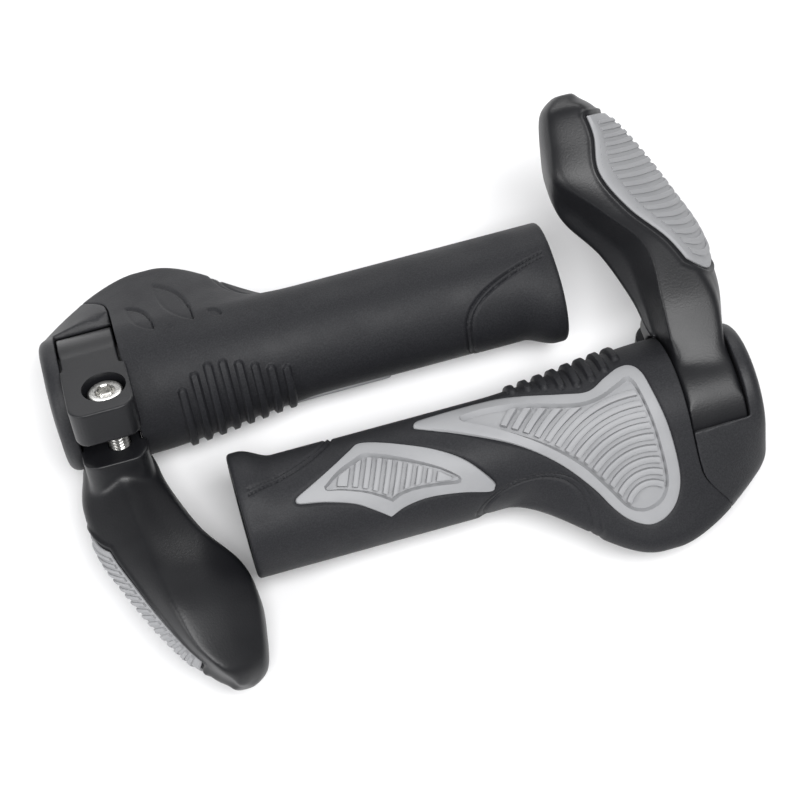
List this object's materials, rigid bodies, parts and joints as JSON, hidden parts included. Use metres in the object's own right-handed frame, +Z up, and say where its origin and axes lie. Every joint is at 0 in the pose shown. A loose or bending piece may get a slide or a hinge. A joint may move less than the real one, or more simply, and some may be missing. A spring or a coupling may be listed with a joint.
{
  "type": "bicycle bar end grips",
  "caption": "Pair of ergonomic lock-on handlebar grips with palm wings, grey soft inserts and clamped bar-end horns, right and left.",
  "frame": {"origin": "middle of the pair's box, on the table that it lies on", "axes": "+X along both handlebar bores, +Y from the right-hand grip to the left-hand one, +Z up"},
  "size_m": [0.1862, 0.1271, 0.0689],
  "materials": {
    "black_rubber": "matte, fine grain",
    "grey_rubber": "soft matte",
    "black_nylon": "satin, fine texture",
    "cap_plastic": "matte",
    "sleeve_plastic": "smooth",
    "steel": "bright turned",
    "brass": "plain"
  },
  "bodies": {
    "grips": {"right_grip_rubber": "black_rubber", "right_core_sleeve": "sleeve_plastic", "right_end_cap": "cap_plastic", "right_end_plug": "cap_plastic", "right_palm_insert": "grey_rubber", "right_heel_insert": "grey_rubber", "left_grip_rubber": "black_rubber", "left_core_sleeve": "sleeve_plastic", "left_end_cap": "cap_plastic", "left_end_plug": "cap_plastic", "left_palm_insert": "grey_rubber", "left_heel_insert": "grey_rubber"},
    "right_bar_end_clamp": {"right_bar_end": "black_nylon", "right_horn_pad": "grey_rubber", "right_thread_insert": "brass"},
    "right_washer": {"right_bolt_washer": "steel"},
    "right_bolt": {"right_pinch_bolt": "steel"},
    "left_bar_end_clamp": {"left_bar_end": "black_nylon", "left_horn_pad": "grey_rubber", "left_thread_insert": "brass"},
    "left_washer": {"left_bolt_washer": "steel"},
    "left_bolt": {"left_pinch_bolt": "steel"}
  },
  "joints": [
    {"name": "right_bar_end_angle", "type": "hinge", "parent": "grips", "child": "right_bar_end_clamp", "pos_m": [0.07755, -0.02056, 0.02034], "axis": [1, 0, 0], "range_deg": [-35, 35]},
    {"name": "right_bolt_travel", "type": "slide", "parent": "right_bar_end_clamp", "child": "right_washer", "axis": [0, -0.1045, -0.9945], "range_m": [0, 0.004]},
    {"name": "right_bolt_turn", "type": "hinge", "parent": "right_washer", "child": "right_bolt", "pos_m": [0.07755, -0.00288, 0.00109], "axis": [0, -0.1045, -0.9945], "range_deg": [0, 1440]},
    {"name": "left_bar_end_angle", "type": "hinge", "parent": "grips", "child": "left_bar_end_clamp", "pos_m": [-0.07755, 0.02674, 0.01969], "axis": [1, 0, 0], "range_deg": [-35, 35]},
    {"name": "left_bolt_travel", "type": "slide", "parent": "left_bar_end_clamp", "child": "left_washer", "axis": [0, 0.5075, 0.8616], "range_m": [0, 0.004]},
    {"name": "left_bolt_turn", "type": "hinge", "parent": "left_washer", "child": "left_bolt", "pos_m": [-0.07755, 0.01863, 0.04454], "axis": [0, 0.5075, 0.8616], "range_deg": [0, 1440]}
  ],
  "couplings": [
    {"joint": "right_bolt_turn", "follows": "right_bolt_travel", "rad_per_m": 6283.2},
    {"joint": "left_bolt_turn", "follows": "left_bolt_travel", "rad_per_m": 6283.2}
  ]
}
